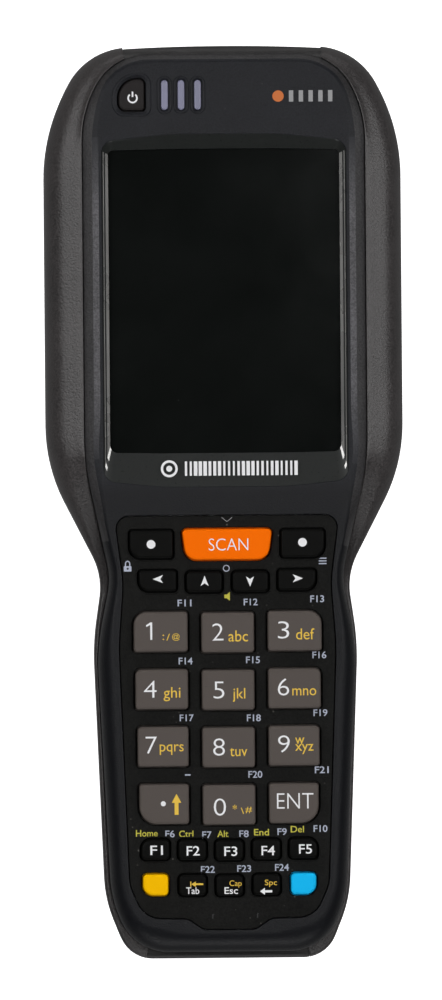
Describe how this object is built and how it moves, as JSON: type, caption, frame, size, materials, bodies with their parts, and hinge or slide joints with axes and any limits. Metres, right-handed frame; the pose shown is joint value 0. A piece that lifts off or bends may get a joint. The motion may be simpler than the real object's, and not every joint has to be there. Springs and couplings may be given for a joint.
{
  "type": "rugged handheld data terminal",
  "caption": "Rugged handheld terminal with a portrait display in a wide head, a keypad handle, a scanning window in its end, sprung keys and a hinged battery door.",
  "frame": {"origin": "under the middle of the case, on the surface its back lies on", "axes": "+X across the case, +Y along it from the tail to the scanning end, +Z out of the display"},
  "size_m": [0.0822, 0.2104, 0.0423],
  "materials": {
    "cover_plastic": "fine texture",
    "housing_plastic": "fine texture",
    "bumper_rubber": "matt",
    "nose_rubber": "matt",
    "seal_rubber": "matt",
    "mat_rubber": "matt",
    "display_glass": "polished",
    "display_module": "gloss",
    "scan_glass": "polished",
    "optics_glass": "polished",
    "light_pipe": "satin",
    "circuit_board": "satin",
    "steel_parts": "brushed",
    "frame_metal": "cast",
    "can_metal": "tinned",
    "engine_case": "matt",
    "connector_plastic": "satin",
    "speaker_black": "matt",
    "battery_shell": "satin",
    "latch_plastic": "satin",
    "power_key": "matt",
    "orange_key": "satin",
    "yellow_key": "satin",
    "blue_key": "satin",
    "number_key": "satin",
    "black_key": "satin",
    "print_white": "printed",
    "print_yellow": "printed",
    "print_grey": "printed"
  },
  "bodies": {
    "case": {"front_cover": "cover_plastic", "rear_housing": "housing_plastic", "housing_seal": "seal_rubber", "bumper_left": "bumper_rubber", "bumper_right": "bumper_rubber", "window_frame": "nose_rubber", "scan_window": "scan_glass", "dock_bezel": "nose_rubber", "dock_connector": "connector_plastic", "case_screws": "steel_parts", "strap_bars": "steel_parts", "display_gasket": "seal_rubber", "touch_glass": "display_glass", "lcd_module": "display_module", "keypad_mat": "mat_rubber", "keypad_board": "circuit_board", "dome_switches": "steel_parts", "light_pipes": "light_pipe", "mid_frame": "frame_metal", "main_board": "circuit_board", "shield_cans": "can_metal", "scan_engine": "engine_case", "engine_optics": "optics_glass", "speaker": "speaker_black", "backup_cell": "can_metal", "battery_pack": "battery_shell", "battery_contacts": "connector_plastic"},
    "battery_door": {"battery_door": "housing_plastic", "latch_spring": "steel_parts"},
    "door_latch": {"door_latch": "latch_plastic"},
    "power_button": {"power_button": "power_key"},
    "scan_key": {"scan_key": "orange_key"},
    "soft_key_left": {"soft_key_left": "black_key"},
    "soft_key_right": {"soft_key_right": "black_key"},
    "arrow_left": {"arrow_left": "black_key"},
    "arrow_up": {"arrow_up": "black_key"},
    "arrow_down": {"arrow_down": "black_key"},
    "arrow_right": {"arrow_right": "black_key"},
    "key_1": {"key_1": "number_key"},
    "key_2": {"key_2": "number_key"},
    "key_3": {"key_3": "number_key"},
    "key_4": {"key_4": "number_key"},
    "key_5": {"key_5": "number_key"},
    "key_6": {"key_6": "number_key"},
    "key_7": {"key_7": "number_key"},
    "key_8": {"key_8": "number_key"},
    "key_9": {"key_9": "number_key"},
    "key_point": {"key_point": "number_key"},
    "key_0": {"key_0": "number_key"},
    "key_enter": {"key_enter": "number_key"},
    "key_f1": {"key_f1": "black_key"},
    "key_f2": {"key_f2": "black_key"},
    "key_f3": {"key_f3": "black_key"},
    "key_f4": {"key_f4": "black_key"},
    "key_f5": {"key_f5": "black_key"},
    "key_yellow": {"key_yellow": "yellow_key"},
    "key_tab": {"key_tab": "black_key"},
    "key_escape": {"key_escape": "black_key"},
    "key_back": {"key_back": "black_key"},
    "key_blue": {"key_blue": "blue_key"}
  },
  "joints": [
    {"name": "battery_door_hinge", "type": "hinge", "parent": "case", "child": "battery_door", "pos_m": [0, -0.009, 0.01], "axis": [1, 0, 0], "range_deg": [0, 70]},
    {"name": "door_latch_slide", "type": "slide", "parent": "battery_door", "child": "door_latch", "axis": [0, 1, 0], "range_m": [0, 0.003], "stiffness_N_per_m": 300, "springref_m": -0.003, "deforming": ["latch_spring"]},
    {"name": "power_button_press", "type": "slide", "parent": "case", "child": "power_button", "axis": [0, 0, -1], "range_m": [0, 0.0006], "stiffness_N_per_m": 400, "springref_m": -0.0006},
    {"name": "scan_key_press", "type": "slide", "parent": "case", "child": "scan_key", "axis": [0, 0, -1], "range_m": [0, 0.0009], "stiffness_N_per_m": 400, "springref_m": -0.0006},
    {"name": "soft_key_left_press", "type": "slide", "parent": "case", "child": "soft_key_left", "axis": [0, 0, -1], "range_m": [0, 0.0009], "stiffness_N_per_m": 400, "springref_m": -0.0006},
    {"name": "soft_key_right_press", "type": "slide", "parent": "case", "child": "soft_key_right", "axis": [0, 0, -1], "range_m": [0, 0.0009], "stiffness_N_per_m": 400, "springref_m": -0.0006},
    {"name": "arrow_left_press", "type": "slide", "parent": "case", "child": "arrow_left", "axis": [0, 0, -1], "range_m": [0, 0.0009], "stiffness_N_per_m": 400, "springref_m": -0.0006},
    {"name": "arrow_up_press", "type": "slide", "parent": "case", "child": "arrow_up", "axis": [0, 0, -1], "range_m": [0, 0.0009], "stiffness_N_per_m": 400, "springref_m": -0.0006},
    {"name": "arrow_down_press", "type": "slide", "parent": "case", "child": "arrow_down", "axis": [0, 0, -1], "range_m": [0, 0.0009], "stiffness_N_per_m": 400, "springref_m": -0.0006},
    {"name": "arrow_right_press", "type": "slide", "parent": "case", "child": "arrow_right", "axis": [0, 0, -1], "range_m": [0, 0.0009], "stiffness_N_per_m": 400, "springref_m": -0.0006},
    {"name": "key_1_press", "type": "slide", "parent": "case", "child": "key_1", "axis": [0, 0, -1], "range_m": [0, 0.0009], "stiffness_N_per_m": 400, "springref_m": -0.0006},
    {"name": "key_2_press", "type": "slide", "parent": "case", "child": "key_2", "axis": [0, 0, -1], "range_m": [0, 0.0009], "stiffness_N_per_m": 400, "springref_m": -0.0006},
    {"name": "key_3_press", "type": "slide", "parent": "case", "child": "key_3", "axis": [0, 0, -1], "range_m": [0, 0.0009], "stiffness_N_per_m": 400, "springref_m": -0.0006},
    {"name": "key_4_press", "type": "slide", "parent": "case", "child": "key_4", "axis": [0, 0, -1], "range_m": [0, 0.0009], "stiffness_N_per_m": 400, "springref_m": -0.0006},
    {"name": "key_5_press", "type": "slide", "parent": "case", "child": "key_5", "axis": [0, 0, -1], "range_m": [0, 0.0009], "stiffness_N_per_m": 400, "springref_m": -0.0006},
    {"name": "key_6_press", "type": "slide", "parent": "case", "child": "key_6", "axis": [0, 0, -1], "range_m": [0, 0.0009], "stiffness_N_per_m": 400, "springref_m": -0.0006},
    {"name": "key_7_press", "type": "slide", "parent": "case", "child": "key_7", "axis": [0, 0, -1], "range_m": [0, 0.0009], "stiffness_N_per_m": 400, "springref_m": -0.0006},
    {"name": "key_8_press", "type": "slide", "parent": "case", "child": "key_8", "axis": [0, 0, -1], "range_m": [0, 0.0009], "stiffness_N_per_m": 400, "springref_m": -0.0006},
    {"name": "key_9_press", "type": "slide", "parent": "case", "child": "key_9", "axis": [0, 0, -1], "range_m": [0, 0.0009], "stiffness_N_per_m": 400, "springref_m": -0.0006},
    {"name": "key_point_press", "type": "slide", "parent": "case", "child": "key_point", "axis": [0, 0, -1], "range_m": [0, 0.0009], "stiffness_N_per_m": 400, "springref_m": -0.0006},
    {"name": "key_0_press", "type": "slide", "parent": "case", "child": "key_0", "axis": [0, 0, -1], "range_m": [0, 0.0009], "stiffness_N_per_m": 400, "springref_m": -0.0006},
    {"name": "key_enter_press", "type": "slide", "parent": "case", "child": "key_enter", "axis": [0, 0, -1], "range_m": [0, 0.0009], "stiffness_N_per_m": 400, "springref_m": -0.0006},
    {"name": "key_f1_press", "type": "slide", "parent": "case", "child": "key_f1", "axis": [0, 0, -1], "range_m": [0, 0.0009], "stiffness_N_per_m": 400, "springref_m": -0.0006},
    {"name": "key_f2_press", "type": "slide", "parent": "case", "child": "key_f2", "axis": [0, 0, -1], "range_m": [0, 0.0009], "stiffness_N_per_m": 400, "springref_m": -0.0006},
    {"name": "key_f3_press", "type": "slide", "parent": "case", "child": "key_f3", "axis": [0, 0, -1], "range_m": [0, 0.0009], "stiffness_N_per_m": 400, "springref_m": -0.0006},
    {"name": "key_f4_press", "type": "slide", "parent": "case", "child": "key_f4", "axis": [0, 0, -1], "range_m": [0, 0.0009], "stiffness_N_per_m": 400, "springref_m": -0.0006},
    {"name": "key_f5_press", "type": "slide", "parent": "case", "child": "key_f5", "axis": [0, 0, -1], "range_m": [0, 0.0009], "stiffness_N_per_m": 400, "springref_m": -0.0006},
    {"name": "key_yellow_press", "type": "slide", "parent": "case", "child": "key_yellow", "axis": [0, 0, -1], "range_m": [0, 0.0009], "stiffness_N_per_m": 400, "springref_m": -0.0006},
    {"name": "key_tab_press", "type": "slide", "parent": "case", "child": "key_tab", "axis": [0, 0, -1], "range_m": [0, 0.0009], "stiffness_N_per_m": 400, "springref_m": -0.0006},
    {"name": "key_escape_press", "type": "slide", "parent": "case", "child": "key_escape", "axis": [0, 0, -1], "range_m": [0, 0.0009], "stiffness_N_per_m": 400, "springref_m": -0.0006},
    {"name": "key_back_press", "type": "slide", "parent": "case", "child": "key_back", "axis": [0, 0, -1], "range_m": [0, 0.0009], "stiffness_N_per_m": 400, "springref_m": -0.0006},
    {"name": "key_blue_press", "type": "slide", "parent": "case", "child": "key_blue", "axis": [0, 0, -1], "range_m": [0, 0.0009], "stiffness_N_per_m": 400, "springref_m": -0.0006}
  ]
}
